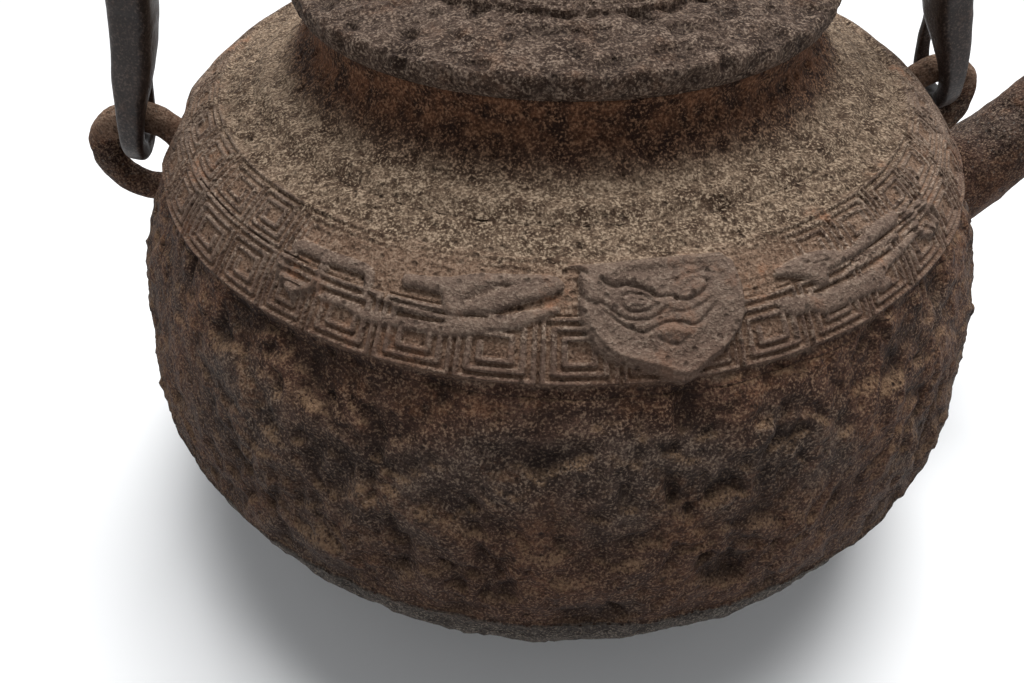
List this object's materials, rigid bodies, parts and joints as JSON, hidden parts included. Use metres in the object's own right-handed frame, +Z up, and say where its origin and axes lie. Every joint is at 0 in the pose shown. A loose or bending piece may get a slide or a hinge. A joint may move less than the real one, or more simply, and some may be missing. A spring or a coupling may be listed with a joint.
{
  "type": "cast-iron water kettle",
  "caption": "Squat round cast-iron kettle with a relief band of squares, short spout, ring lugs, hooked iron bail and a loose domed lid with a riveted knob.",
  "frame": {"origin": "centre of the flat base, where the kettle stands", "axes": "+Z up along the body's axis of revolution, +X towards the spout along the line of the two ring lugs, -Y towards the ornament's animal mask"},
  "size_m": [0.2255, 0.191, 0.2053],
  "materials": {
    "cast_body": "rough sand-cast brown iron, pitted, worn relief, rust traces",
    "cast_lid": "rough sand-cast grey-brown iron",
    "knob_iron": "handled brown-black iron",
    "forged_bail": "forged black-brown iron, hammered, slightly worn on the edges"
  },
  "bodies": {
    "kettle": {"kettle_body": "cast_body"},
    "lid": {"lid": "cast_lid", "knob_seat": "knob_iron", "knob_washer": "knob_iron"},
    "knob": {"knob": "knob_iron"},
    "bail": {"bail": "forged_bail"}
  },
  "joints": [
    {"name": "bail_swing", "type": "hinge", "parent": "kettle", "child": "bail", "pos_m": [0, 0, 0.0914], "axis": [1, 0, 0], "range_deg": [-70, 70]},
    {"name": "lid_lift", "type": "slide", "parent": "kettle", "child": "lid", "axis": [0, 0, 1], "range_m": [0, 0.045]},
    {"name": "knob_spin", "type": "hinge", "parent": "lid", "child": "knob", "pos_m": [0, 0, 0.122], "axis": [0, 0, 1], "continuous": true}
  ]
}
